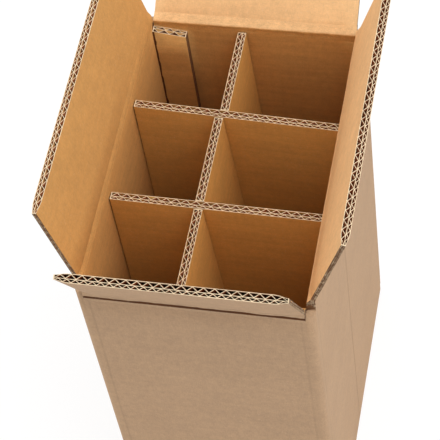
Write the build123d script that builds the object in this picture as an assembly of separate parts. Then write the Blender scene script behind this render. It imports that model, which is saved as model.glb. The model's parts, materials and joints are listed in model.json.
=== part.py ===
from build123d import *
import os
from math import hypot, radians, sin, tan

# Bottle shipping box: an upright slotted carton of double-wall corrugated board,
# standing open, with an interlocking two by three partition for six bottles.
# Millimetres. X is the short side, Y the long side, Z is up.
# The origin is on the ground under the middle of the carton.
# The front is the short side that faces -Y.

# Board: three flat papers with a large flute and a small flute between them
paper = 0.45
large_flute_height = 3.2
large_flute_pitch = 8.0
small_flute_height = 2.25
small_flute_pitch = 6.3

# Carton, inside
inside_width = 170.4
inside_length = 260.4
end_crease_height = 390.0

# Folds, slots and clearances
corner_radius = 6.0
bottom_fold_radius = 5.0
slot_gap = 0.5
seam_gap = 0.8
seam_offset = 1.0
closing_gap = 0.4
crease_gap = 0.3
crushed_band = 14.0
post_drop = 1.0
edge_margin = 0.8

# How far each top flap folds: inwards until shut, outwards until the crease stops it
shut_angle = 90.0
open_angle = 120.0
fold_spare = 1.0

# How far each top flap leans outwards from upright as the box stands
front_lean_angle = 26.0
back_lean_angle = 55.0
left_lean_angle = 12.0
right_lean_angle = 19.0

# Glue tab of the corner joint, inside the back wall at the left
tab_width = 28.0
tab_slant = 9.0
tab_drop = 4.2
tab_flute_depth = 8.0
joint_groove = 2.4

# Partition
divider_end_gap = 1.0
divider_slot_gap = 0.3
cross_dividers = ["front_cross_divider", "back_cross_divider"]

# The partition as it stands in use: its long board is left of the middle, the leaves
# of that board above the slots lean left, and the cross boards sit askew in the slots
divider_offset = -4.0
leaf_sways = [9.0, 9.3, 6.0]
cross_turns = [-0.9, -2.5]

# What follows from them
board = 3 * paper + large_flute_height + small_flute_height
half_board = board / 2
outside_width = inside_width + 2 * board
outside_length = inside_length + 2 * board
side_crease_height = end_crease_height + board + closing_gap
end_axis = inside_length / 2 + half_board
side_axis = inside_width / 2 + half_board
flap_depth = side_axis - seam_gap / 2
end_flap_width = inside_width - 2 * slot_gap
side_flap_width = inside_length - 2 * slot_gap
floor_height = 2 * board
divider_top = end_crease_height - half_board - closing_gap
divider_middle = (floor_height + divider_top) / 2
divider_slot = board * (1 + sin(radians(abs(min(cross_turns))))) + 2 * divider_slot_gap
cells_along = len(cross_dividers) + 1
cell_step = (inside_length + board) / cells_along
crossings = [(n - cells_along / 2) * cell_step for n in range(1, cells_along)]


def outline(*corners):
    """A closed outline on XY through those corners."""
    return Wire.make_polygon([Vector(*corner) for corner in corners])


def flute_layer(length, low, height, pitch):
    """Outlines of the air gaps on both sides of one wavy paper, along X.

    The pitch is eased a little, so that the waves end at both ends of the board.
    """
    start = edge_margin - length / 2
    count = round(-2 * start / pitch)
    step = -2 * start / count
    slope = 2 * height / step
    half = step / 2 - paper / 2 * hypot(1, slope) / slope
    rise = half * slope
    top = low + height
    gaps = []
    for n in range(count):
        middle = start + (n + 0.5) * step
        gaps.append(outline((middle - half, low), (middle + half, low), (middle, low + rise)))
        if n:
            edge = start + n * step
            gaps.append(outline((edge - half, top), (edge + half, top), (edge, top - rise)))
    for edge, inward in ((start, half), (-start, -half)):
        gaps.append(outline((edge, top), (edge + inward, top), (edge, top - rise)))
    return gaps


def flute_gaps(length):
    """All the air gaps of the board's section: small flute at -Y, large at +Y."""
    small_low = -half_board + paper
    large_low = small_low + small_flute_height + paper
    small = flute_layer(length, small_low, small_flute_height, small_flute_pitch)
    large = flute_layer(length, large_low, large_flute_height, large_flute_pitch)
    return small + large


def fluted_board(low, high, rise):
    """A board on XY from one X to another, its flutes open at both ends.

    It rises along a vector.
    """
    section = Face(Wire.make_rect(high - low, board), flute_gaps(high - low))
    return Solid.extrude(Pos((low + high) / 2, 0, 0) * section, rise)


def prism(points, length):
    """A closed outline in the YZ plane, carried along X, centred on it."""
    outline = Wire.make_polygon([Vector(-length / 2, y, z) for y, z in points])
    return Solid.extrude(Face(outline), Vector(length, 0, 0))


def crease_relief(length, up):
    """What a fold needs clear: above the crease of a wall, below that of a flap.

    The crease is on the X axis, the inside of the board is at +Y.
    """
    inner = tan(radians((shut_angle + fold_spare) / 2))
    outer = tan(radians((open_angle + fold_spare) / 2))
    reach = board
    tip = crease_gap / 2
    points = [
        (-reach, -reach * outer),
        (-tip / outer, -tip),
        (tip / inner, -tip),
        (reach, -reach * inner),
        (reach, reach),
        (-reach, reach),
    ]
    sign = 1 if up else -1
    return prism([(y, sign * z) for y, z in points], length)


def flap(width):
    """A top flap, upright on its crease, its inside at +Y and its flutes upright."""
    root = Pos(0, 0, crushed_band / 2) * Box(width, board, crushed_band)
    root -= crease_relief(width + board, up=False)
    rise = Vector(0, 0, flap_depth - crushed_band)
    leaf = fluted_board(-width / 2, width / 2, rise)
    return (root + Pos(0, 0, crushed_band) * leaf).clean()


def placed(piece, turn, distance, height, lean):
    """Leans a flap outwards on its crease and takes it to its side of the box."""
    side = Rot(0, 0, turn) * Pos(0, -distance, height)
    return side * Rot(lean, 0, 0) * piece


def cross_divider(length):
    """A short partition board along X, slotted from its bottom to halfway up."""
    rise = Vector(0, 0, divider_top - floor_height)
    piece = fluted_board(-length / 2, length / 2, rise)
    slot_height = divider_middle + divider_slot_gap / 2 - floor_height
    slot = Box(divider_slot, 2 * board, 2 * slot_height)
    return Pos(0, 0, floor_height) * (piece - Pos(divider_offset, 0, 0) * slot)


def long_divider(length):
    """The long partition board along X, with its back at +X and its left at +Y.

    Slots from the top part its upper half into leaves, and each leaf leans left.
    """
    leaf_low = divider_middle - divider_slot_gap / 2
    rise = Vector(0, 0, leaf_low - floor_height)
    piece = Pos(0, 0, floor_height) * fluted_board(-length / 2, length / 2, rise)
    starts = [-length / 2] + [place + divider_slot / 2 for place in crossings]
    ends = [place - divider_slot / 2 for place in crossings] + [length / 2]
    for start, end, sway in zip(starts, ends, leaf_sways):
        rise = Vector(0, sway, divider_top - leaf_low)
        piece += Pos(0, 0, leaf_low) * fluted_board(start, end, rise)
    return piece


def wall_top(width, top):
    """The upper edge of a wall under its flap, from below the posts to the crease."""
    low = end_crease_height - crushed_band
    return Pos(0, 0, (low + top) / 2) * Box(width, board, top - low)


def bottom_flap(width, reach):
    """A folded bottom flap, its fold along X at -Y and its underside on XY."""
    slab = Pos(0, reach / 2, board / 2) * Box(width, reach, board)
    fold = slab.edges().filter_by(Axis.X).group_by(Axis.Z)[0].sort_by(Axis.Y)[0]
    return fillet(fold, bottom_fold_radius)


def glue_tab():
    """The slanted tab of the left wall, glued inside the back wall."""
    left = -inside_width / 2
    top = end_crease_height - tab_drop
    fall = tab_width * tan(radians(tab_slant))
    corners = [
        (left, floor_height),
        (left + tab_width, floor_height + fall),
        (left + tab_width, top - fall),
        (left, top),
    ]
    inner = inside_length / 2 - board
    outline = Wire.make_polygon([Vector(x, inner, z) for x, z in corners])
    tab = Solid.extrude(Face(outline), Vector(0, board, 0))
    middle = Vector(left + tab_width / 2, inner + half_board, 0)
    cuts = []
    for gap in flute_gaps(tab_width):
        place = gap.center().X + middle.X
        low = top - (place - left) * tan(radians(tab_slant)) - tab_flute_depth
        channel = Solid.extrude(Face(gap), Vector(0, 0, 2 * tab_flute_depth))
        turned = Rot(0, 0, 180) * channel
        cuts.append(Pos(middle.X, middle.Y, low) * turned)
    return tab - cuts


def carton():
    """The folded blank without its top flaps: walls, glue tab and shut bottom."""
    post_top = end_crease_height - post_drop
    outer = RectangleRounded(outside_width, outside_length, corner_radius)
    ring = outer - Rectangle(inside_width, inside_length)
    body = extrude(Pos(0, 0, floor_height) * ring, post_top - floor_height)
    for turn in (0, 180):
        end = Rot(0, 0, turn)
        side = Rot(0, 0, turn + 90)
        end_top = wall_top(inside_width, end_crease_height)
        side_top = wall_top(inside_length, side_crease_height)
        body += end * Pos(0, -end_axis, 0) * end_top
        body += side * Pos(0, -side_axis, 0) * side_top
        end_relief = Pos(0, -end_axis, end_crease_height)
        side_relief = Pos(0, -side_axis, side_crease_height)
        body -= end * end_relief * crease_relief(inside_width, up=True)
        body -= side * side_relief * crease_relief(inside_length, up=True)
        reach = flap_depth + half_board
        inner_flap = bottom_flap(end_flap_width, reach)
        past_middle = seam_offset if turn == 0 else -seam_offset
        outer_flap = bottom_flap(side_flap_width, reach + past_middle)
        body += end * Pos(0, -outside_length / 2, board) * inner_flap
        body += side * Pos(0, -outside_width / 2, 0) * outer_flap
        strip = Box(side_flap_width, board, board)
        body += side * Pos(0, -side_axis, 3 * half_board) * strip
    body += glue_tab()
    groove = Rot(0, 0, 45) * Box(joint_groove, joint_groove, 2 * end_crease_height)
    body -= Pos(-outside_width / 2, inside_length / 2, end_crease_height) * groove
    return body.clean()


def main():
    os.makedirs("parts", exist_ok=True)
    end_flap = flap(end_flap_width)
    side_flap = flap(side_flap_width)
    long_length = inside_length - 2 * divider_end_gap
    cross_length = inside_width - 2 * divider_end_gap
    cross = cross_divider(cross_length)
    pieces = {
        "carton": carton(),
        "front_flap": placed(end_flap, 0, end_axis, end_crease_height, front_lean_angle),
        "right_flap": placed(side_flap, 90, side_axis, side_crease_height, right_lean_angle),
        "back_flap": placed(end_flap, 180, end_axis, end_crease_height, back_lean_angle),
        "left_flap": placed(side_flap, 270, side_axis, side_crease_height, left_lean_angle),
        "long_divider": Pos(divider_offset, 0, 0) * Rot(0, 0, 90) * long_divider(long_length),
    }
    for name, place, turn in zip(cross_dividers, crossings, cross_turns):
        about_slot = Pos(divider_offset, place, 0) * Rot(0, 0, turn)
        pieces[name] = about_slot * Pos(-divider_offset, 0, 0) * cross
    for name, piece in pieces.items():
        export_step(piece, f"parts/{name}.step")


main()
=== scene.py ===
import json
from math import cos, pi, radians, sin

import bpy
from bpy.props import FloatProperty, FloatVectorProperty, PointerProperty
from mathutils import Matrix, Vector, noise

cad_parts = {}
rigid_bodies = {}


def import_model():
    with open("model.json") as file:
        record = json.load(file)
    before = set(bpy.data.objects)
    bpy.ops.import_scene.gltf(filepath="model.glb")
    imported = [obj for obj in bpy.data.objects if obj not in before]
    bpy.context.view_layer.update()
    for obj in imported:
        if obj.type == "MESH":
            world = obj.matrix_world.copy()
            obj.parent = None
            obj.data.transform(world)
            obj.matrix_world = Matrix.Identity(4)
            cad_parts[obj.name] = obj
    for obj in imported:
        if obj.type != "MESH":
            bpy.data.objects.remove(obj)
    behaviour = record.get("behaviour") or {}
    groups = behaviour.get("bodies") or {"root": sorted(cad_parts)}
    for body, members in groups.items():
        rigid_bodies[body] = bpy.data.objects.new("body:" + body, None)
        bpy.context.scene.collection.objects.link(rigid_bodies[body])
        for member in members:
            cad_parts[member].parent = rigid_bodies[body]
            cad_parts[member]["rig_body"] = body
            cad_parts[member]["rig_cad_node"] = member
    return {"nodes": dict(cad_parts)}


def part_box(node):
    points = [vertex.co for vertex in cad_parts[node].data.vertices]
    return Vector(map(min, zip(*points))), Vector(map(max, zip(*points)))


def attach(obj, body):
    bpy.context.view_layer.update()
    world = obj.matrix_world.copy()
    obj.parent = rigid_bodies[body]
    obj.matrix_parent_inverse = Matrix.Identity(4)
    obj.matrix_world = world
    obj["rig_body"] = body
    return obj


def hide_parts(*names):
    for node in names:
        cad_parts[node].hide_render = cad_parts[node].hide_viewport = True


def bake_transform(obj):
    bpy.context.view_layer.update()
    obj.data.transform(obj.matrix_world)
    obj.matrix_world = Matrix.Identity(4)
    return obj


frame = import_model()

bl_info = {
    "name": "Bottle Shipping Box",
    "version": (1, 0, 0),
    "blender": (4, 5, 0),
    "location": "View3D > Sidebar > Carton",
    "description": "Dresses a corrugated carton with an interlocking partition",
    "category": "Object",
}

# The board and the places of its folds, as the frame has them, in metres
MM = 0.001
BOARD = 6.8 * MM
HALF_BOARD = BOARD / 2
INSIDE_WIDTH = 170.4 * MM
INSIDE_LENGTH = 260.4 * MM
END_CREASE = 390.0 * MM
SIDE_CREASE = 397.2 * MM
FLAP_DEPTH = 88.2 * MM
CRUSHED_BAND = 14.0 * MM
LARGE_PITCH = 8.0 * MM
SMALL_PITCH = 6.3 * MM
DIVIDER_OFFSET = -4.0 * MM
TAB_SLANT = 9.0
TAB_DROP = 4.2 * MM
CROSSING = (INSIDE_LENGTH + BOARD) / 6
# Each flap's turn about the box and its lean, and its fold in millimetres: how deep the
# score is, how wide it opens, how far the flap's lip hangs over it and the inside ridge
FLAPS = {
    "front": {
        "turn": 0, "lean": 26, "width": 169.4 * MM,
        "score": 2.6, "mouth": 5.4, "lip": 0.8, "bead": 0.2,
    },
    "right": {
        "turn": 90, "lean": 19, "width": 259.4 * MM,
        "score": 0.9, "mouth": 2.6, "lip": 0.3, "bead": -0.25,
    },
    "back": {
        "turn": 180, "lean": 55, "width": 169.4 * MM,
        "score": 0.9, "mouth": 2.8, "lip": 0.2, "bead": 0.5,
    },
    "left": {
        "turn": 270, "lean": 12, "width": 259.4 * MM,
        "score": 0.9, "mouth": 2.6, "lip": 0.3, "bead": -0.25,
    },
}
# Flaps whose inside liner gets a paler copy of the inside colour: painted light where the
# lamps fall on them more
PAINTED_LIGHT_FLAPS = ("back", "right")
DIVIDERS = {
    "long_divider": {"turn": 90, "place": (DIVIDER_OFFSET, 0)},
    "front_cross_divider": {"turn": -0.9, "place": (DIVIDER_OFFSET, -CROSSING)},
    "back_cross_divider": {"turn": -2.5, "place": (DIVIDER_OFFSET, CROSSING)},
}

# How near two points count as one, and how near a point lies to a plane that it is on
MERGED = 1e-5
TOUCHING = 0.1 * MM
ABOUT = 0.2 * MM
# How closely a face looks along an axis to count as square to it
SQUARE = 0.97
# Edges that turn by more than this, in degrees, stay sharp
WALL_EDGES, BOARD_EDGES, BAND_EDGES, STRIP_EDGES = 40, 25, 60, 50


def linear(red, green, blue):
    """A colour as a screen shows it, 0 to 255, turned into amounts of light."""
    out = []
    for part in (red, green, blue):
        part /= 255
        out.append(part / 12.92 if part <= 0.04045 else ((part + 0.055) / 1.055) ** 2.4)
    return tuple(out)


def colour(name, description, *screen):
    return FloatVectorProperty(
        name=name, description=description, subtype="COLOR", size=3, min=0, max=1,
        default=linear(*screen),
    )


def length(name, description, millimetres):
    return FloatProperty(
        name=name, description=description, default=millimetres * MM,
        unit="LENGTH", min=0, precision=4,
    )


class BoardColours(bpy.types.PropertyGroup):
    outside: colour("Outside", "Liner that faces out of the carton", 189, 155, 122)
    inside: colour("Inside", "Liner that faces into the carton", 212, 160, 95)
    # A paler copy of the inside colour: painted light on the back and right flaps
    painted_lit_inside: colour("Painted light inside", "Inside liner of the back and right flaps, painted paler as painted light", 236, 190, 136)
    partition: colour("Partition", "Liner of the partition boards", 219, 167, 93)
    fluting: colour("Fluting", "Wavy paper inside the board", 180, 112, 70)
    cut: colour("Cut", "Paper where a blade has cut it", 240, 216, 180)
    torn: colour("Torn", "Torn board at the tops of the walls", 118, 82, 52)
    void: colour("Void", "Shadow between the papers at a crushed cut", 92, 54, 26)


class BoardForm(bpy.types.PropertyGroup):
    crush: length("Crush", "How much thinner a board is at its side cuts", 3.3)
    crush_reach: length("Crush reach", "How far in from a side cut it is crushed", 10)
    wobble: length("Wobble", "How far a flap is out of flat", 0.5)
    fray: length("Fray", "How uneven a cut edge is", 0.35)
    fold_line: length("Fold line", "Depth of the line down the right wall", 0.6)
    fold_line_place: FloatProperty(
        name="Fold line place", description="Where that line is along the wall",
        default=-15 * MM, unit="LENGTH",
    )
    proud: length("Proud", "How far a fold's band stands proud of the board", 0.05)


class StageSettings(bpy.types.PropertyGroup):
    place: FloatVectorProperty(
        name="Camera place", description="Where the camera stands",
        subtype="TRANSLATION", unit="LENGTH", size=3,
        default=(0.271795, -0.820146, 1.555479),
    )
    aim: FloatVectorProperty(
        name="Camera aim", description="A point in the middle of the picture",
        subtype="TRANSLATION", unit="LENGTH", size=3,
        default=(-0.0366, 0.065, 0.2),
    )
    roll: FloatProperty(
        name="Camera roll", description="How far the camera tilts to its side",
        subtype="ANGLE", default=radians(-10.56),
    )
    lens: FloatProperty(
        name="Lens", description="Focal length on a 36 mm film, in millimetres",
        default=151.27, min=1,
    )
    sky: FloatProperty(
        name="Sky", description="Strength of the even light all round",
        default=0.58, min=0,
    )
    lamp: FloatProperty(
        name="Lamp", description="Power of the soft lamp overhead, in watts",
        default=23.0, min=0,
    )


def form():
    return bpy.context.scene.board_form


def colours():
    return bpy.context.scene.board_colours


# Selecting, slicing and shaping

# Places near both side cuts of a board where it is sliced, in millimetres from the cut
END_STEPS = (2, 4, 7, 10, 13)
# How often a flap's slow wave turns in a metre, along the crease and up the flap
FLAP_WAVE_ALONG, FLAP_WAVE_UP = 14, 9
# A frayed cut: how often its bites and its slow wave turn in a metre, and the share of
# the fray that is even, that comes in bites and that comes in waves
BITES_ALONG, BITES_THROUGH, FRAY_WAVE = 420, 900, 40
EVEN_SHARE, BITE_SHARE, WAVE_SHARE = 0.5, 0.35, 0.4
WAVE_SEED = 5


def only(piece):
    """Leaves one object selected and active."""
    if bpy.context.object and bpy.context.object.mode == "EDIT":
        bpy.ops.object.mode_set(mode="OBJECT")
    bpy.ops.object.select_all(action="DESELECT")
    piece.select_set(True)
    bpy.context.view_layer.objects.active = piece


def copied_node(node, name):
    """A merged copy of one node of the frame, to be shaped as a piece."""
    only(frame["nodes"][node])
    bpy.ops.object.duplicate()
    piece = bpy.context.object
    bpy.ops.object.parent_clear(type="CLEAR_KEEP_TRANSFORM")
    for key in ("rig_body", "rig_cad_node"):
        del piece[key]
    piece.name = name
    piece.data.name = name
    piece.data.materials.clear()
    bpy.ops.object.mode_set(mode="EDIT")
    bpy.ops.mesh.select_all(action="SELECT")
    bpy.ops.mesh.remove_doubles(threshold=MERGED)
    bpy.ops.object.mode_set(mode="OBJECT")
    return piece


def sliced(piece, cuts):
    """Divides a piece along planes, each a point and a direction, and merges slivers."""
    only(piece)
    bpy.ops.object.mode_set(mode="EDIT")
    for place, across in cuts:
        bpy.ops.mesh.select_all(action="SELECT")
        bpy.ops.mesh.bisect(plane_co=place, plane_no=across)
    bpy.ops.mesh.select_all(action="SELECT")
    bpy.ops.mesh.remove_doubles(threshold=MERGED)
    bpy.ops.mesh.dissolve_degenerate(threshold=MERGED)
    bpy.ops.object.mode_set(mode="OBJECT")


def smoothed(piece, angle):
    only(piece)
    bpy.ops.object.shade_smooth_by_angle(angle=radians(angle))


def flap_frame(side):
    """The matrix that lays a side's board frame on its leaning flap.

    In that frame X runs along the crease, Y is the inside and Z goes up the flap.
    """
    flap = FLAPS[side]
    end = side in ("front", "back")
    distance = (INSIDE_LENGTH if end else INSIDE_WIDTH) / 2 + HALF_BOARD
    height = END_CREASE if end else SIDE_CREASE
    turn = Matrix.Rotation(radians(flap["turn"]), 4, "Z")
    return (
        turn
        @ Matrix.Translation((0, -distance, height))
        @ Matrix.Rotation(radians(flap["lean"]), 4, "X")
    )


def divider_frame(node):
    """The matrix that lays a board frame on a divider, upright from the ground."""
    divider = DIVIDERS[node]
    turn = Matrix.Rotation(radians(divider["turn"]), 4, "Z")
    return Matrix.Translation((*divider["place"], 0)) @ turn


def board_cuts(board, heights, widths):
    """Planes across a board at heights and at widths of its own frame."""
    up = (board.to_3x3() @ Vector((0, 0, 1))).normalized()
    along = (board.to_3x3() @ Vector((1, 0, 0))).normalized()
    cuts = [(board @ Vector((0, 0, height)), up) for height in heights]
    return cuts + [(board @ Vector((width, 0, 0)), along) for width in widths]


def end_widths(edge):
    """Places near both side cuts of a board, which lie at edge from its middle."""
    return [way * (edge - inset * MM) for way in (-1, 1) for inset in END_STEPS]


def smooth_step(value):
    value = min(max(value, 0), 1)
    return value * value * (3 - 2 * value)


def crushed(across, width):
    """How much a board is crushed at a place across it: 0, up to 1 at its side cuts."""
    return smooth_step((abs(across) - width / 2) / form().crush_reach + 1)


def frayed(spot, seed):
    """How far a cut edge has worn back at a place on it."""
    bite = noise.noise(Vector((spot.x * BITES_ALONG, spot.y * BITES_THROUGH, seed)))
    wave = noise.noise(Vector((spot.x * FRAY_WAVE, 0, seed + WAVE_SEED)))
    return form().fray * (EVEN_SHARE + BITE_SHARE * bite + WAVE_SHARE * wave)


def soften_flap(piece, board, width, seed):
    """Crushes a flap at its side cuts, wobbles it and frays its upper cut."""
    back = board.inverted()
    looks = form()
    for vertex in piece.data.vertices:
        spot = back @ vertex.co
        spot.y *= 1 - crushed(spot.x, width) * looks.crush / BOARD
        rise = smooth_step((spot.z - CRUSHED_BAND) / (FLAP_DEPTH - CRUSHED_BAND))
        wave = noise.noise(Vector((spot.x * FLAP_WAVE_ALONG, spot.z * FLAP_WAVE_UP, seed)))
        spot.y += looks.wobble * rise * (0.5 + 0.5 * wave)
        if spot.z > FLAP_DEPTH - TOUCHING:
            spot.z -= frayed(spot, seed)
        vertex.co = board @ spot


def fray_divider(piece, board, top, seed):
    """Frays the upper cut of a partition board."""
    back = board.inverted()
    for vertex in piece.data.vertices:
        spot = back @ vertex.co
        if spot.z > top - TOUCHING:
            spot.z -= frayed(spot, seed)
        vertex.co = board @ spot


# Shader groups

# The paper's pattern, as marks to a metre across its frame and up it
CLOUDS = 16.0
MOTTLE = 140.0
STREAKS = (14.0, 14.0, 210.0)
FIBRES = (330.0, 330.0, 1500.0)
CROSSED_FIBRES = (1500.0, 1500.0, 300.0)
SPECKS = (520.0, 520.0, 1300.0)
SPECK_TURN = (0.4, 0.3, 0)
LINT = 760.0
# Where in the noise a mark begins and is whole, how strong it is, and its tint
SPECK_MARK = (0.66, 0.74, 0.0, 0.28)
SPECK_TINT = (0.62, 0.5, 0.38, 1)
LINT_MARK = (0.68, 0.76, 0.0, 0.16)
LINT_TINT = (0.86, 0.74, 0.6, 1)
# How much the grain counts beside the weave, the range of roughness that the mottle
# gives, and how much the grain and the mottle stand up
GRAIN_SHARE = 1.1
PAPER_ROUGHNESS = (0.2, 0.8, 0.74, 0.88)
GRAIN_HEIGHT, MOTTLE_HEIGHT = 0.6, 1.2
# How fine the ridges' drift and depth are, how far they drift, and how their depth varies
RIDGE_DRIFTS, RIDGE_DEPTHS = 22.0, 11.0
RIDGE_DRIFT = 0.5
RIDGE_DEPTH = (0.25, 0.75, 0.35, 1.0)
# Each paper of the board seen edge on: its middle and half of how wide it shows, in
# millimetres, then how softly it ends and how far it bends
SHEETS = ((-2.65, 0.34), (-1.4, 0.22), (-0.5, 0.3), (1.0, 0.25), (2.65, 0.34))
SHEET_END = 0.35
SHEET_BEND = 2.2 * MM
BENDS, TEARS, FLUFF = 120.0, 260.0, 900.0
TEAR_MARK = (0.42, 0.6)
FLUFF_MARK = (0.35, 0.7, 0.25, 1.0)
# How much of a sheet shows where it isn't torn, and how much a tear covers the gaps
SHEET_LEAST, TEAR_COVER = 0.3, 0.35


class NodeBench:
    """A short way to add nodes and link them in one tree."""

    def __init__(self, tree):
        self.tree = tree

    def link(self, source, target):
        self.tree.links.new(source, target)

    def add(self, kind, inputs=None, **settings):
        node = self.tree.nodes.new(kind)
        for key, value in settings.items():
            setattr(node, key, value)
        for key, value in (inputs or {}).items():
            if isinstance(value, bpy.types.NodeSocket):
                self.link(value, node.inputs[key])
            else:
                node.inputs[key].default_value = value
        return node

    def math(self, operation, *values):
        return self.add(
            "ShaderNodeMath", dict(enumerate(values)), operation=operation
        ).outputs[0]

    def centred(self, value):
        """A noise value moved so that it swings about nothing."""
        return self.math("SUBTRACT", value, 0.5)

    def mix(self, share, first, second, blend="MIX"):
        node = self.add(
            "ShaderNodeMix", {0: share, 6: first, 7: second},
            data_type="RGBA", blend_type=blend,
        )
        return node.outputs[2]

    def shaded(self, paper, tone):
        """A colour made darker or lighter by a tone, where 1 leaves it as it is."""
        grey = self.add("ShaderNodeCombineColor", {0: tone, 1: tone, 2: tone})
        return self.mix(1.0, paper, grey.outputs[0], "MULTIPLY")

    def spread(self, value, low, high, to_low=0.0, to_high=1.0):
        node = self.add(
            "ShaderNodeMapRange",
            {0: value, 1: low, 2: high, 3: to_low, 4: to_high},
            interpolation_type="SMOOTHSTEP",
        )
        return node.outputs[0]

    def noise(self, vector, scale, detail=4.0, roughness=0.5):
        node = self.add(
            "ShaderNodeTexNoise",
            {"Vector": vector, "Scale": scale, "Detail": detail, "Roughness": roughness},
        )
        return node.outputs[0]

    def stretched_noise(self, vector, stretch, detail, roughness, turn=(0, 0, 0)):
        """A noise that is finer one way than another."""
        node = self.add(
            "ShaderNodeMapping", {"Vector": vector, "Scale": stretch, "Rotation": turn}
        )
        return self.noise(node.outputs[0], 1.0, detail, roughness)

    def bump(self, height):
        """The normal of a surface with this height, in metres."""
        node = self.add("ShaderNodeBump", {"Strength": 1.0, "Distance": 1.0, "Height": height})
        return node.outputs[0]


def shader_group(name, inputs, outputs):
    """An empty group with named sockets, and its bench, input and output."""
    group = bpy.data.node_groups.new(name, "ShaderNodeTree")
    for kind, sockets in (("INPUT", inputs), ("OUTPUT", outputs)):
        for label, socket in sockets.items():
            group.interface.new_socket(
                label, in_out=kind, socket_type=f"NodeSocket{socket}"
            )
    entry = group.nodes.new("NodeGroupInput")
    leave = group.nodes.new("NodeGroupOutput")
    return group, NodeBench(group), entry.outputs, leave.inputs


def kraft_group():
    """Paper: clouds, streaks along the machine's way, fibres and dark specks."""
    group, bench, given, made = shader_group(
        "Kraft paper",
        {
            "Vector": "Vector", "Color": "Color", "Cloud": "Float", "Fibre": "Float",
            "Streak": "Float",
        },
        {"Color": "Color", "Roughness": "Float", "Height": "Float"},
    )
    place = given["Vector"]
    cloud = bench.noise(place, CLOUDS, 3.0)
    mottle = bench.noise(place, MOTTLE, 5.0, 0.6)
    streak = bench.stretched_noise(place, STREAKS, 3.0, 0.6)
    fibre = bench.stretched_noise(place, FIBRES, 3.0, 0.7)
    crossed = bench.stretched_noise(place, CROSSED_FIBRES, 2.0, 0.7)
    speck = bench.stretched_noise(place, SPECKS, 2.0, 0.5, SPECK_TURN)
    lint = bench.noise(place, LINT, 1.0)

    tone = bench.math("MULTIPLY_ADD", bench.centred(cloud), given["Cloud"], 1.0)
    lines = bench.math("MULTIPLY", bench.centred(streak), given["Streak"])
    weave = bench.math("ADD", lines, bench.centred(mottle))
    grain = bench.math("SUBTRACT", bench.math("ADD", fibre, crossed), 1.0)
    tone = bench.math("MULTIPLY_ADD", weave, given["Fibre"], tone)
    grain_share = bench.math("MULTIPLY", given["Fibre"], GRAIN_SHARE)
    tone = bench.math("MULTIPLY_ADD", grain, grain_share, tone)

    paper = bench.shaded(given["Color"], tone)
    spots = bench.mix(1.0, paper, SPECK_TINT, "MULTIPLY")
    paper = bench.mix(bench.spread(speck, *SPECK_MARK), paper, spots)
    paper = bench.mix(bench.spread(lint, *LINT_MARK), paper, LINT_TINT)
    bench.link(paper, made["Color"])
    bench.link(bench.spread(mottle, *PAPER_ROUGHNESS), made["Roughness"])
    rough = bench.math(
        "ADD",
        bench.math("MULTIPLY", grain, GRAIN_HEIGHT),
        bench.math("MULTIPLY", mottle, MOTTLE_HEIGHT),
    )
    bench.link(rough, made["Height"])
    return group


def ridge_group():
    """The flutes that show through a liner as faint upright ridges."""
    group, bench, given, made = shader_group(
        "Flute ridges", {"Across": "Float", "Vector": "Vector", "Pitch": "Float"},
        {"Height": "Float"},
    )
    place = given["Vector"]
    drift = bench.math("MULTIPLY", bench.noise(place, RIDGE_DRIFTS, 2.0), RIDGE_DRIFT)
    turns = bench.math("ADD", bench.math("DIVIDE", given["Across"], given["Pitch"]), drift)
    wave = bench.math("COSINE", bench.math("MULTIPLY", turns, 2 * pi))
    depth = bench.spread(bench.noise(place, RIDGE_DEPTHS, 2.0), *RIDGE_DEPTH)
    bench.link(bench.math("MULTIPLY", wave, depth), made["Height"])
    return group


def layer_group():
    """A cut along the flutes: five papers seen edge on, crushed and torn, with painted shadow
    between them.
    """
    group, bench, given, made = shader_group(
        "Crushed layers",
        {"Through": "Float", "Vector": "Vector", "Paper": "Color", "Void": "Color"},
        {"Color": "Color", "Height": "Float"},
    )
    place = given["Vector"]
    bend = bench.centred(bench.noise(place, BENDS, 3.0))
    depth = bench.math("MULTIPLY_ADD", bend, SHEET_BEND, given["Through"])
    sheets = None
    for middle, half in SHEETS:
        away = bench.math("ABSOLUTE", bench.math("SUBTRACT", depth, middle * MM))
        sheet = bench.spread(away, half * MM, (half + SHEET_END) * MM, 1.0, 0.0)
        sheets = sheet if sheets is None else bench.math("MAXIMUM", sheets, sheet)
    tear = bench.spread(bench.noise(place, TEARS, 4.0, 0.65), *TEAR_MARK)
    fluff = bench.spread(bench.noise(place, FLUFF, 3.0, 0.7), *FLUFF_MARK)
    left = bench.math("MULTIPLY_ADD", tear, 1 - SHEET_LEAST, SHEET_LEAST)
    shown = bench.math(
        "MAXIMUM",
        bench.math("MULTIPLY", sheets, left),
        bench.math("MULTIPLY", tear, TEAR_COVER),
    )
    shown = bench.math("MULTIPLY", shown, fluff)
    # Where no sheet shows, the void colour stands as painted shadow between the papers
    bench.link(bench.mix(shown, given["Void"], given["Paper"]), made["Color"])
    bench.link(shown, made["Height"])
    return group


def placed_group(bench, name, maker, inputs):
    """A node of a named group, which is made the first time that it is asked for."""
    tree = bpy.data.node_groups.get(name) or maker()
    return bench.add("ShaderNodeGroup", inputs, node_tree=tree)


# Materials

# Height of each relief, in metres
PAPER_RELIEF = 0.12 * MM
SMALL_RIDGE, LARGE_RIDGE, WALL_RIDGE = 0.03 * MM, 0.04 * MM, 0.02 * MM
SHEET_RELIEF = 0.6 * MM
LINE_DENT = -1.2 * MM
# How much lighter a ridge is painted than the paper about it, and a trough darker: painted
# light and shade
RIDGE_LIGHT_AND_SHADE = 0.009
# A pressed line: how often it wanders in a metre and how far, and how far from its middle
# its painted shade stops being darkest and ends
LINE_DRIFTS = 9.0
LINE_DRIFT = 4 * MM
LINE_HALF_WIDTHS = (0.2 * MM, 1.6 * MM)
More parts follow.
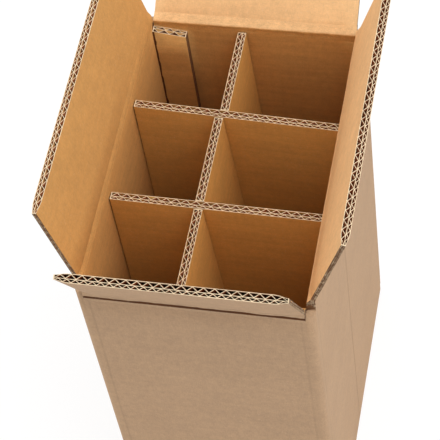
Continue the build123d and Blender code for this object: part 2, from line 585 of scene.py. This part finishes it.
# How cloudy and how fibrous a paper is that was cut by a blade, or torn
CUT_PAPER = {"cloud": 0.2, "fibre": 0.5}
TORN_PAPER = {"cloud": 0.4, "fibre": 0.9}
PAPER_SHEEN = 0.25
CUT_SHEEN, CUT_ROUGHNESS = 0.15, 0.9
PLAIN_STREAK = 0.45


def new_material(name):
    """A material, its bench and its shader."""
    material = bpy.data.materials.new(name)
    material.use_nodes = True
    bench = NodeBench(material.node_tree)
    return material, bench, material.node_tree.nodes["Principled BSDF"]


def board_place(bench, board):
    """Object coordinates turned into a board's own frame."""
    back = board.inverted()
    place = bench.add("ShaderNodeTexCoord").outputs["Object"]
    mapping = bench.add(
        "ShaderNodeMapping",
        {"Vector": place, "Location": back.translation, "Rotation": back.to_euler("XYZ")},
    )
    return mapping.outputs[0]


def ridged(bench, place, pitch, ridge, shade, height):
    """Adds the ridges of the flutes to a liner's height, and painted light and shade along
    them to its colour.
    """
    across = bench.add("ShaderNodeSeparateXYZ", {0: place}).outputs[0]
    ridges = placed_group(
        bench, "Flute ridges", ridge_group,
        {"Across": across, "Vector": place, "Pitch": pitch},
    ).outputs[0]
    height = bench.math("MULTIPLY_ADD", ridges, ridge, height)
    # Painted light on the ridges' crests and painted shade between them
    tone = bench.math("MULTIPLY_ADD", ridges, RIDGE_LIGHT_AND_SHADE, 1.0)
    return bench.shaded(shade, tone), height


def pressed(bench, place, lines, shade, height):
    """Adds pressed upright lines to the outside of a liner: a dent in its height, and painted
    shade that darkens its colour along them.
    """
    spot = bench.add("ShaderNodeSeparateXYZ", {0: place}).outputs
    drift = bench.centred(bench.noise(place, LINE_DRIFTS, 1.0))
    across = bench.math("MULTIPLY_ADD", drift, LINE_DRIFT, spot[0])
    front = bench.math("LESS_THAN", spot[1], 0.0)
    for middle, darker in lines:
        away = bench.math("ABSOLUTE", bench.math("SUBTRACT", across, middle))
        line = bench.spread(away, *LINE_HALF_WIDTHS, darker, 0.0)
        line = bench.math("MULTIPLY", line, front)
        # Painted shade: the colour is darkened along each pressed line
        shade = bench.shaded(shade, bench.math("SUBTRACT", 1.0, line))
        height = bench.math("MULTIPLY_ADD", line, LINE_DENT, height)
    return shade, height


def paper_material(
    name, tint, board=Matrix(), pitch=0.0, ridge=0.0,
    cloud=0.16, fibre=0.3, streak=PLAIN_STREAK, lines=(),
):
    """A liner in a board's frame, with the flutes showing through if it has a pitch.

    Each pressed line is its place across the board and how much painted shade darkens it.
    """
    material, bench, shader = new_material(name)
    place = board_place(bench, board)
    kraft = placed_group(
        bench, "Kraft paper", kraft_group,
        {
            "Vector": place, "Color": (*tint, 1), "Cloud": cloud, "Fibre": fibre,
            "Streak": streak,
        },
    )
    shade = kraft.outputs["Color"]
    height = bench.math("MULTIPLY", kraft.outputs["Height"], PAPER_RELIEF)
    if pitch:
        shade, height = ridged(bench, place, pitch, ridge, shade, height)
    if lines:
        shade, height = pressed(bench, place, lines, shade, height)
    bench.link(shade, shader.inputs["Base Color"])
    bench.link(kraft.outputs["Roughness"], shader.inputs["Roughness"])
    bench.link(bench.bump(height), shader.inputs["Normal"])
    shader.inputs["Specular IOR Level"].default_value = PAPER_SHEEN
    return material


def layers_material(name, board):
    """The side cut of a board in its own frame."""
    material, bench, shader = new_material(name)
    place = board_place(bench, board)
    through = bench.add("ShaderNodeSeparateXYZ", {0: place}).outputs[1]
    layers = placed_group(
        bench, "Crushed layers", layer_group,
        {
            "Through": through, "Vector": place,
            "Paper": (*colours().cut, 1), "Void": (*colours().void, 1),
        },
    )
    height = bench.math("MULTIPLY", layers.outputs["Height"], SHEET_RELIEF)
    bench.link(layers.outputs["Color"], shader.inputs["Base Color"])
    bench.link(bench.bump(height), shader.inputs["Normal"])
    shader.inputs["Roughness"].default_value = CUT_ROUGHNESS
    shader.inputs["Specular IOR Level"].default_value = CUT_SHEEN
    return material


# The materials of a flap or a partition board, in their order
OUTER, INNER, CUT_EDGE, SIDE_CUT, FLUTING = range(5)
# How closely a face looks up the board to be part of its upper or lower cut
CUT_UPWARD = 0.8


def board_materials(name, board, outer, inner, streak=PLAIN_STREAK):
    """Outer liner, inner liner, cut across the flutes, side cut and fluting."""
    tint = colours()
    return [
        paper_material(
            f"{name} outer liner", outer, board, SMALL_PITCH, SMALL_RIDGE, streak=streak
        ),
        paper_material(
            f"{name} inner liner", inner, board, LARGE_PITCH, LARGE_RIDGE, streak=streak
        ),
        paper_material(f"{name} cut edge", tint.cut, board, **CUT_PAPER),
        layers_material(f"{name} side cut", board),
        paper_material(f"{name} fluting", tint.fluting, board),
    ]


def dress(piece, materials, zone):
    """Gives a piece its materials, and each face the one that zone names for it."""
    for material in materials:
        piece.data.materials.append(material)
    for face in piece.data.polygons:
        face.material_index = zone(face)


def board_zones(board, upright=False):
    """A function that names the material of a board's face by where it faces."""
    back = board.inverted()
    turned = back.to_3x3()

    def zone(face):
        way = (turned @ face.normal).normalized()
        if abs(way.z) > CUT_UPWARD:
            return CUT_EDGE
        if abs(way.x) > SQUARE:
            return SIDE_CUT
        if abs(way.y) > SQUARE:
            return OUTER if way.y < 0 else INNER
        if upright or (back @ face.center).z > CRUSHED_BAND:
            return FLUTING
        return SIDE_CUT

    return zone


# The floor, its tint, and the white that it shows the camera: its strength and share
FLOOR_SIZE = 12
FLOOR_TINT = (0.97, 0.97, 0.97, 1)
FLOOR_ROUGHNESS = 0.8
FLOOR_WHITE, FLOOR_SHARE = 1.06, 0.78
WHITE = (1, 1, 1, 1)
# Each soft lamp's place, width and power as a share of the overhead lamp's
LAMPS = {
    "overhead_lamp": ((0.8, -0.25, 2.4), 1.8, 1.0),
    "side_lamp": ((2.0, -0.2, 1.7), 1.4, 0.36),
    "fill_lamp": ((-1.5, 0.05, 1.15), 1.0, 0.4),
}
LAMP_AIM = Vector((0, 0, 0.3))
FILM_WIDTH = 36
NEAREST = 0.05


def seen(bench):
    """1 for what the camera, a mirror or glass sees, and 0 for what the lamps light."""
    path = bench.add("ShaderNodeLightPath").outputs
    either = bench.math("MAXIMUM", path["Is Camera Ray"], path["Is Glossy Ray"])
    return bench.math("MAXIMUM", either, path["Is Transmission Ray"])


def show_white(bench, share, plain_shader, white, output):
    """Shows a white in place of a shader, by a share, at a tree's output."""
    both = bench.add(
        "ShaderNodeMixShader", {0: share, 1: plain_shader.outputs[0], 2: white.outputs[0]}
    )
    bench.link(both.outputs[0], bench.tree.nodes[output].inputs[0])


class CARTON_OT_stage(bpy.types.Operator):
    """Add the floor, the soft light and the camera"""

    bl_idname = "carton.stage"
    bl_label = "Stage"

    def execute(self, context):
        stage = context.scene.carton_stage
        self.floor()
        self.light(context, stage)
        self.camera(context, stage)
        context.scene.view_settings.view_transform = "Standard"
        return {"FINISHED"}

    def floor(self):
        bpy.ops.object.select_all(action="DESELECT")
        bpy.ops.mesh.primitive_plane_add(size=FLOOR_SIZE)
        ground = bpy.context.object
        ground.name = "studio_floor"
        material, bench, shader = new_material("Pale floor")
        shader.inputs["Base Color"].default_value = FLOOR_TINT
        shader.inputs["Roughness"].default_value = FLOOR_ROUGHNESS
        white = bench.add("ShaderNodeEmission", {"Color": WHITE, "Strength": FLOOR_WHITE})
        share = bench.math("MULTIPLY", seen(bench), FLOOR_SHARE)
        show_white(bench, share, shader, white, "Material Output")
        ground.data.materials.append(material)

    def light(self, context, stage):
        world = bpy.data.worlds.new("Studio")
        context.scene.world = world
        world.use_nodes = True
        bench = NodeBench(world.node_tree)
        even = world.node_tree.nodes["Background"]
        even.inputs["Strength"].default_value = stage.sky
        even.inputs["Color"].default_value = WHITE
        white = bench.add("ShaderNodeBackground", {"Color": WHITE, "Strength": 1.0})
        show_white(bench, seen(bench), even, white, "World Output")
        for name, (place, size, share) in LAMPS.items():
            bpy.ops.object.light_add(type="AREA", location=place)
            lamp = context.object
            lamp.name = name
            lamp.data.shape = "DISK"
            lamp.data.size = size
            lamp.data.energy = stage.lamp * share
            way = LAMP_AIM - Vector(place)
            lamp.rotation_euler = way.to_track_quat("-Z", "Y").to_euler()

    def camera(self, context, stage):
        bpy.ops.object.camera_add(location=stage.place)
        camera = context.object
        way = Vector(stage.aim) - Vector(stage.place)
        aimed = way.to_track_quat("-Z", "Y").to_matrix()
        camera.rotation_euler = (aimed @ Matrix.Rotation(stage.roll, 3, "Z")).to_euler()
        camera.data.sensor_fit = "HORIZONTAL"
        camera.data.sensor_width = FILM_WIDTH
        camera.data.lens = stage.lens
        camera.data.clip_start = NEAREST
        context.scene.camera = camera


# Where the walls are sliced, in millimetres: up, along the sides and across the ends, and
# about the line down the right wall
WALL_HEIGHTS = range(30, 380, 25)
SIDE_PLACES = range(-110, 120, 20)
END_PLACES = range(-70, 80, 20)
FOLD_LINE_STEPS = (-3, -0.7, 0, 0.7, 3)
# How far the walls are out of flat, how often that turns in a metre along a wall and up
# it, the half wave that a side and an end have, and their seeds
WALL_WOBBLE = 0.7 * MM
WALL_WAVE_ALONG, WALL_WAVE_UP = 9, 7
SIDE_HALF_WAVE, END_HALF_WAVE = 0.28, 0.19
SIDE_SEED, END_SEED = 3, 8
# Pressed lines beside the corners: how far in they are and how much painted shade darkens them
CORNER_INSET, SIDE_INSET = 3 * MM, 4 * MM
LEFT_DARKER, RIGHT_DARKER, SIDE_DARKER, FOLD_DARKER = 0.1, 0.07, 0.06, 0.16
INNER_STREAK, SIDE_INNER_STREAK = 1.1, 0.8
# The walls' materials, in their order
(
    END_OUTER, SIDE_OUTER, END_INNER, SIDE_INNER, TORN_TOP, TAB_SIDE, TAB_EDGE, TAB_FLUTE_SHADE,
) = range(8)
# The walls' faces: how closely one looks up or to a side, and from where it is torn
UPWARD, SIDEWAYS = 0.5, 0.9
TORN_HEIGHT, TORN_UPWARD, TORN_SIDEWAYS = 0.38, 0.3, 0.7
POST_DEPTH = 2 * MM
# The tab lies left of the first of these places, and its side cut right of the second
TAB_INNER, TAB_OUTER = -50 * MM, -70 * MM
# How far down from the tab's top its cut papers and the painted shade of its flutes reach
TAB_EDGE_DEPTH, TAB_FLUTE_DEPTH = 3 * MM, 9 * MM
TAB_MIDDLE = INSIDE_LENGTH / 2 - HALF_BOARD
# The torn strip beside the tab, its dark colour painted shade in the fold: its section and
# slices, and each raggedness as its size, its seed and how often it turns in a metre
STRIP_WIDTH, STRIP_DEPTH = 3 * MM, 1 * MM
STRIP_GAP = 0.5 * MM
STRIP_HEIGHTS = range(16, 384, 4)
STRIP_TEARS = ((0.7 * MM, 4, 95), (0.5 * MM, 9, 300))
STRIP_RIPPLE = (0.3 * MM, 2, 240)


def tab_top(across):
    """Height of the tab's slanted top at a place across the carton."""
    fall = (across + INSIDE_WIDTH / 2) * sin(radians(TAB_SLANT))
    return END_CREASE - TAB_DROP - fall


def wall_bulge(along, height, up, half_wave, seed):
    """How far a wall stands out at a place along it and up it."""
    wave = noise.noise(Vector((along * WALL_WAVE_ALONG, height * WALL_WAVE_UP, seed)))
    return WALL_WOBBLE * up * cos(along * pi / half_wave) * wave


def ragged(height, size, seed, turns):
    """How far the torn strip stands out at a height."""
    return size * noise.noise(Vector((0, seed, height * turns)))


class CARTON_OT_walls(bpy.types.Operator):
    """Shape the walls, the glue tab and the shut bottom from the frame"""

    bl_idname = "carton.walls"
    bl_label = "Walls"

    def execute(self, context):
        piece = copied_node("carton", "carton_walls")
        line = form().fold_line_place
        cuts = [((0, 0, height * MM), (0, 0, 1)) for height in WALL_HEIGHTS]
        cuts += [((0, y * MM, 0), (0, 1, 0)) for y in SIDE_PLACES]
        cuts += [((0, line + y * MM, 0), (0, 1, 0)) for y in FOLD_LINE_STEPS]
        cuts += [((x * MM, 0, 0), (1, 0, 0)) for x in END_PLACES]
        sliced(piece, cuts)
        dress(piece, self.materials(), self.zone)
        self.bulge(piece)
        smoothed(piece, WALL_EDGES)
        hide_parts("carton")
        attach(piece, "carton")
        self.tab_fold()
        return {"FINISHED"}

    def materials(self):
        tint = colours()
        end, side = (Matrix.Rotation(radians(turn), 4, "Z") for turn in (0, 90))
        edge = INSIDE_WIDTH / 2 - CORNER_INSET
        # Lines darkened by painted shade beside the corners and down the right wall's fold
        corner_shade_lines = [(-edge, LEFT_DARKER), (edge, RIGHT_DARKER)]
        side_shade_lines = [
            (form().fold_line_place, FOLD_DARKER),
            (-INSIDE_LENGTH / 2 + SIDE_INSET, SIDE_DARKER),
        ]
        return [
            paper_material(
                "Wall outer liner", tint.outside, end, SMALL_PITCH, WALL_RIDGE,
                fibre=0.3, lines=corner_shade_lines,
            ),
            paper_material(
                "Side wall outer liner", tint.outside, side, SMALL_PITCH, WALL_RIDGE,
                fibre=0.25, lines=side_shade_lines,
            ),
            paper_material(
                "Wall inner liner", tint.inside, end, LARGE_PITCH, WALL_RIDGE,
                streak=INNER_STREAK,
            ),
            paper_material(
                "Side wall inner liner", tint.inside, side, LARGE_PITCH, WALL_RIDGE,
                streak=SIDE_INNER_STREAK,
            ),
            paper_material("Wall torn edge", tint.torn, **TORN_PAPER),
            paper_material("Tab side cut", tint.torn, **TORN_PAPER),
            paper_material("Tab cut edge", tint.cut, **CUT_PAPER),
            # The void colour on the tab's flutes is painted shade in their hollows
            paper_material("Tab flute shadow", tint.void, fibre=0.5),
        ]

    def zone(self, face):
        """Which material a face of the walls has, by its place and where it faces."""
        way, spot = face.normal, face.center
        side = abs(way.x) > abs(way.y)
        if spot.x < TAB_INNER and abs(spot.y - TAB_MIDDLE) < HALF_BOARD:
            below = tab_top(spot.x) - spot.z
            if abs(way.x) > SIDEWAYS and spot.x > TAB_OUTER:
                return TAB_SIDE
            if way.z > UPWARD:
                # Below the cut papers the tab's flutes get painted shade
                return TAB_EDGE if below < TAB_EDGE_DEPTH else TAB_FLUTE_SHADE
            if below < TAB_FLUTE_DEPTH and abs(way.y) < SQUARE:
                return TAB_FLUTE_SHADE
        if way.z > UPWARD and END_CREASE - POST_DEPTH < spot.z < END_CREASE:
            return SIDE_OUTER if side else END_OUTER
        if spot.z > TORN_HEIGHT and abs(way.z) > TORN_UPWARD:
            return TORN_TOP
        if spot.z > END_CREASE and abs(way.y) > TORN_SIDEWAYS:
            return TORN_TOP
        if (
            abs(spot.x) < INSIDE_WIDTH / 2 + ABOUT
            and abs(spot.y) < INSIDE_LENGTH / 2 + ABOUT
            and spot.z > 2 * BOARD - ABOUT
        ):
            return SIDE_INNER if side else END_INNER
        return SIDE_OUTER if side else END_OUTER

    def bulge(self, piece):
        """Puts the walls a little out of flat, and presses in the right wall's line."""
        looks = form()
        for vertex in piece.data.vertices:
            spot = vertex.co
            up = sin(pi * min(max(spot.z / END_CREASE, 0), 1))
            if abs(spot.x) > INSIDE_WIDTH / 2 - ABOUT:
                spot.x += wall_bulge(spot.y, spot.z, up, SIDE_HALF_WAVE, SIDE_SEED)
            on_line = abs(spot.y - looks.fold_line_place) < TOUCHING
            if on_line and spot.x > INSIDE_WIDTH / 2 + HALF_BOARD:
                spot.x -= looks.fold_line * smooth_step(up * 2)
            if abs(spot.y) > INSIDE_LENGTH / 2 - ABOUT:
                spot.y += wall_bulge(spot.x, spot.z, up, END_HALF_WAVE, END_SEED)

    def tab_fold(self):
        """The torn strip in the corner where the tab folds off the left wall, coloured dark as
        painted shade in that fold.
        """
        low, high = 2 * BOARD, END_CREASE - TAB_DROP - STRIP_GAP
        corner = Vector((-INSIDE_WIDTH / 2, INSIDE_LENGTH / 2 - BOARD, (low + high) / 2))
        bpy.ops.object.select_all(action="DESELECT")
        bpy.ops.mesh.primitive_cube_add(size=1, location=corner)
        strip = bpy.context.object
        strip.name = "tab_fold"
        strip.dimensions = (STRIP_WIDTH, STRIP_DEPTH, high - low)
        bpy.ops.object.transform_apply(location=True, rotation=False, scale=True)
        sliced(strip, [((0, 0, height * MM), (0, 0, 1)) for height in STRIP_HEIGHTS])
        for vertex in strip.data.vertices:
            spot = vertex.co
            if spot.x > corner.x:
                for tear in STRIP_TEARS:
                    spot.x += ragged(spot.z, *tear)
            if spot.y < corner.y:
                spot.y += ragged(spot.z, *STRIP_RIPPLE)
        # The void colour here is painted shade in the corner of the fold
        strip.data.materials.append(
            paper_material("Torn fold shadow", colours().void, cloud=0.6, fibre=1.2)
        )
        smoothed(strip, STRIP_EDGES)
        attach(strip, "carton")


# How many bands a flap is sliced into above its crushed band, and their height
FLAP_BANDS = 6
FLAP_BAND = 10.4


class CARTON_OT_flaps(bpy.types.Operator):
    """Shape the four top flaps, with their crushed side cuts and frayed edges"""

    bl_idname = "carton.flaps"
    bl_label = "Flaps"

    def execute(self, context):
        tint = colours()
        for seed, (side, flap) in enumerate(FLAPS.items()):
            board = flap_frame(side)
            piece = copied_node(f"{side}_flap", f"{side}_flap_board")
            bands = range(1, FLAP_BANDS + 1)
            heights = [CRUSHED_BAND + band * FLAP_BAND * MM for band in bands]
            sliced(piece, board_cuts(board, heights, end_widths(flap["width"] / 2)))
            name = side.capitalize() + " flap"
            # Painted light: the more brightly lit flaps get the paler copy of the inside liner
            inner = tint.painted_lit_inside if side in PAINTED_LIGHT_FLAPS else tint.inside
            dress(piece, board_materials(name, board, tint.outside, inner), board_zones(board))
            soften_flap(piece, board, flap["width"], seed)
            smoothed(piece, BOARD_EDGES)
            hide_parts(f"{side}_flap")
            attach(piece, f"{side}_flap")
        return {"FINISHED"}


DIVIDER_HEIGHTS = range(40, 380, 30)
PARTITION_STREAK = 0.95
PARTITION_SEED = 20


class CARTON_OT_partition(bpy.types.Operator):
    """Shape the three slotted boards of the partition"""

    bl_idname = "carton.partition"
    bl_label = "Partition"

    def execute(self, context):
        liner = colours().partition
        for seed, node in enumerate(DIVIDERS):
            board = divider_frame(node)
            piece = copied_node(node, node.replace("divider", "board"))
            sliced(piece, board_cuts(board, [height * MM for height in DIVIDER_HEIGHTS], []))
            name = node.replace("_", " ").capitalize()
            materials = board_materials(name, board, liner, liner, PARTITION_STREAK)
            dress(piece, materials, board_zones(board, upright=True))
            fray_divider(piece, board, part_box(node)[1].z, seed + PARTITION_SEED)
            smoothed(piece, BOARD_EDGES)
            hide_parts(node)
            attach(piece, "carton")
        return {"FINISHED"}


# Heights from the hinge of the points of a band's section, in millimetres: in the middle
# of the board, on the wall's outside, at the lip, on the flap's outside and up the inside
WALL_FOOT, FLAP_HEAD = -7.3, 6.7
WALL_OUTSIDE = (-8.6, -7.4)
MOUTH_EDGE = 0.6
LIP_HEIGHTS = (0.9, 2.2)
FLAP_OUTSIDE = (4, 5.5, 7.5)
FOLD_INSIDE = (6, 4.5, 3, 1.5)
# The points round the inside ridge as shares of the lean, and where the ridge's arch
# starts and how long it is, as shares of half a turn
BEAD_STEPS = (1, 0.75, 0.5, 0.25, 0)
BEAD_START, BEAD_ARCH = 0.1, 0.8
# How far the band reaches past its flap's side cuts, and, in millimetres, how far in its
# even slices begin and how far apart they are
BAND_OVERLAP = 0.2 * MM
BAND_END, BAND_STEP = 16, 4
# How far from the hinge the band is wrinkled, and how far above it its ends are crushed
# in full
WRINKLE_REACH = 5 * MM
END_RISE = 6 * MM
# How often the fine and the slow wrinkles turn in a metre, along, up and through the band
FINE_ALONG, FINE_UP, FINE_THROUGH = 210, 160, 60
SLOW_ALONG, SLOW_SEED, SLOW_THROUGH = 45, 2, 60
# How far the wrinkles move the band out and up, in millimetres
FINE_OUT, SLOW_OUT = 0.22, 0.25
FINE_RISE, SLOW_RISE = 0.4, 1.1
# An inside ridge that is higher than the first of these is rough, by the second
ROUGH_BEAD, ROUGH_RIDGE = 0.4, 0.55
# The band's materials, in their order, and where across and up it the score's painted shadow
# is
BAND_OUTER, BAND_INNER, BAND_SIDE, BAND_SCORE_SHADOW, BAND_FOOT = range(5)
BAND_FIBRE, SCORE_SHADOW_FIBRE = 0.45, 0.6
BAND_SIDEWAYS = 0.7
SCORE_OUTSIDE, SCORE_INSIDE, SCORE_FOOT = -2.9 * MM, -1 * MM, -6 * MM


class CARTON_OT_creases(bpy.types.Operator):
    """Add the crushed band of board that bends between each wall and its flap"""

    bl_idname = "carton.creases"
    bl_label = "Creases"

    def execute(self, context):
        for side in FLAPS:
            self.crease(side)
        return {"FINISHED"}

    def outline(self, flap):
        """The band's section, in the wall's frame: up the outside, down the inside."""
        lean = radians(flap["lean"])
        proud = HALF_BOARD + form().proud
        lip = proud + flap["lip"] * MM
        mouth = flap["mouth"]
        turn = Matrix.Rotation(lean, 2)

        def on_wall(y, z):
            return Vector((y, z * MM))

        def on_flap(y, z):
            return turn @ Vector((y, z * MM))

        wall_heights = (*WALL_OUTSIDE, -mouth - MOUTH_EDGE, -mouth)
        outer_wall = [on_wall(0, WALL_FOOT)]
        outer_wall += [on_wall(-proud, z) for z in wall_heights]
        middle = Vector((cos(lean / 2 + pi), sin(lean / 2 + pi)))
        score = [middle * (proud / cos(lean / 2) - flap["score"] * MM)]
        outer_flap = [on_flap(-lip, z) for z in LIP_HEIGHTS]
        outer_flap += [on_flap(-proud, z) for z in FLAP_OUTSIDE]
        outer_flap += [on_flap(0, FLAP_HEAD)]
        inner_flap = [on_flap(proud, z) for z in FOLD_INSIDE]
        bead = []
        for step in BEAD_STEPS:
            reach = proud + flap["bead"] * MM * sin(pi * (BEAD_START + BEAD_ARCH * step))
            bead.append(reach * Vector((cos(lean * step), sin(lean * step))))
        inner_wall = [on_wall(proud, -z) for z in reversed(FOLD_INSIDE)]
        return outer_wall + score + outer_flap + inner_flap + bead + inner_wall

    def crease(self, side):
        flap = FLAPS[side]
        lean = radians(flap["lean"])
        hinge = flap_frame(side) @ Matrix.Rotation(-lean, 4, "X")
        edge = flap["width"] / 2
        half_width = edge + BAND_OVERLAP
        points = self.outline(flap)
        bpy.ops.object.select_all(action="DESELECT")
        bpy.ops.mesh.primitive_circle_add(vertices=len(points), radius=0.01, fill_type="NGON")
        piece = bpy.context.object
        piece.name = f"{side}_crease"
        for vertex, point in zip(piece.data.vertices, points):
            vertex.co = hinge @ Vector((-half_width, point.x, point.y))
        along = (hinge.to_3x3() @ Vector((1, 0, 0))) * 2 * half_width
        bpy.ops.object.mode_set(mode="EDIT")
        bpy.ops.mesh.select_all(action="SELECT")
        bpy.ops.mesh.extrude_region_move(TRANSFORM_OT_translate={"value": along})
        bpy.ops.mesh.select_all(action="SELECT")
        bpy.ops.mesh.normals_make_consistent(inside=False)
        bpy.ops.object.mode_set(mode="OBJECT")
        inner_edge = edge - BAND_END * MM
        steps = round(inner_edge / (BAND_STEP * MM))
        widths = end_widths(edge)
        widths += [step / steps * inner_edge for step in range(-steps, steps + 1)]
        sliced(piece, board_cuts(hinge, [], widths))
        self.wrinkle(piece, hinge, flap)
        dress(piece, self.materials(side, hinge), self.zones(hinge, lean))
        smoothed(piece, BAND_EDGES)
        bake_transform(piece)

    def wrinkle(self, piece, hinge, flap):
        """Presses the band in and out a little, and crushes it with its flap's ends."""
        looks = form()
        back = hinge.inverted()
        turn = Matrix.Rotation(-radians(flap["lean"]), 4, "X")
        for vertex in piece.data.vertices:
            spot = back @ vertex.co
            near = max(0, 1 - abs(spot.z) / WRINKLE_REACH)
            fine = noise.noise(
                Vector((spot.x * FINE_ALONG, spot.z * FINE_UP, spot.y * FINE_THROUGH))
            )
            slow = noise.noise(
                Vector((spot.x * SLOW_ALONG, SLOW_SEED, spot.y * SLOW_THROUGH))
            )
            spot.y += (FINE_OUT * fine + SLOW_OUT * slow) * near * MM
            spot.z += (FINE_RISE * fine + SLOW_RISE * slow) * near * flap["lip"] * MM
            if spot.y > 0 and flap["bead"] > ROUGH_BEAD:
                spot.y += ROUGH_RIDGE * fine * near * MM
            leaf = turn @ spot
            if leaf.z > 0:
                end = crushed(leaf.x, flap["width"]) * smooth_step(leaf.z / END_RISE)
                leaf.y *= 1 - end * looks.crush / BOARD
                spot = turn.inverted() @ leaf
            vertex.co = hinge @ spot

    def materials(self, side, hinge):
        tint = colours()
        name = side.capitalize() + " crease"
        # Painted light: the more brightly lit flaps get the paler copy of the inside liner
        inner = tint.painted_lit_inside if side in PAINTED_LIGHT_FLAPS else tint.inside
        return [
            paper_material(f"{name} outer", tint.outside, hinge, fibre=BAND_FIBRE),
            paper_material(f"{name} inner", inner, hinge, fibre=BAND_FIBRE),
            layers_material(f"{name} side", hinge),
            # The score gets the void colour: painted shadow in the groove under the fold
            paper_material(f"{name} score", tint.void, hinge, fibre=SCORE_SHADOW_FIBRE),
            paper_material(f"{name} foot", tint.inside, hinge, fibre=BAND_FIBRE),
        ]

    def zones(self, hinge, lean):
        """A function that names a face's material: side, liners, or painted shadow in the
        wall's score.
        """
        back = hinge.inverted()
        turned = back.to_3x3()

        def zone(face):
            way, place = turned @ face.normal, back @ face.center
            if abs(way.x) > BAND_SIDEWAYS:
                return BAND_SIDE
            if place.z * cos(lean / 2) > place.y * sin(lean / 2):
                outside = place.y * cos(lean) + place.z * sin(lean) < 0
                return BAND_OUTER if outside else BAND_INNER
            if place.y > 0:
                return BAND_FOOT
            # Faces in the wall's groove get painted shadow in the void colour
            torn = SCORE_OUTSIDE < place.y < SCORE_INSIDE and place.z > SCORE_FOOT
            return BAND_SCORE_SHADOW if torn else BAND_OUTER

        return zone


class CARTON_PT_panel(bpy.types.Panel):
    """The carton's pieces in the sidebar"""

    bl_idname = "CARTON_PT_panel"
    bl_label = "Bottle shipping box"
    bl_space_type = "VIEW_3D"
    bl_region_type = "UI"
    bl_category = "Carton"

    def draw(self, context):
        for name in GROUPS:
            group = getattr(context.scene, name)
            box = self.layout.box()
            for key in group.__annotations__:
                box.prop(group, key)
        for operator in OPERATORS:
            self.layout.operator(operator.bl_idname)


OPERATORS = (
    CARTON_OT_stage,
    CARTON_OT_walls,
    CARTON_OT_flaps,
    CARTON_OT_partition,
    CARTON_OT_creases,
)
GROUPS = {
    "board_colours": BoardColours,
    "board_form": BoardForm,
    "carton_stage": StageSettings,
}


def register():
    for kind in (*GROUPS.values(), *OPERATORS, CARTON_PT_panel):
        bpy.utils.register_class(kind)
    for name, kind in GROUPS.items():
        setattr(bpy.types.Scene, name, PointerProperty(type=kind))


def unregister():
    for name in GROUPS:
        delattr(bpy.types.Scene, name)
    for kind in (CARTON_PT_panel, *reversed(OPERATORS), *GROUPS.values()):
        bpy.utils.unregister_class(kind)


def main():
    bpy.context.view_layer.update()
    register()
    bpy.ops.carton.stage()
    bpy.ops.carton.walls()
    bpy.ops.carton.flaps()
    bpy.ops.carton.partition()
    bpy.ops.carton.creases()


if __name__ == "__main__":
    main()
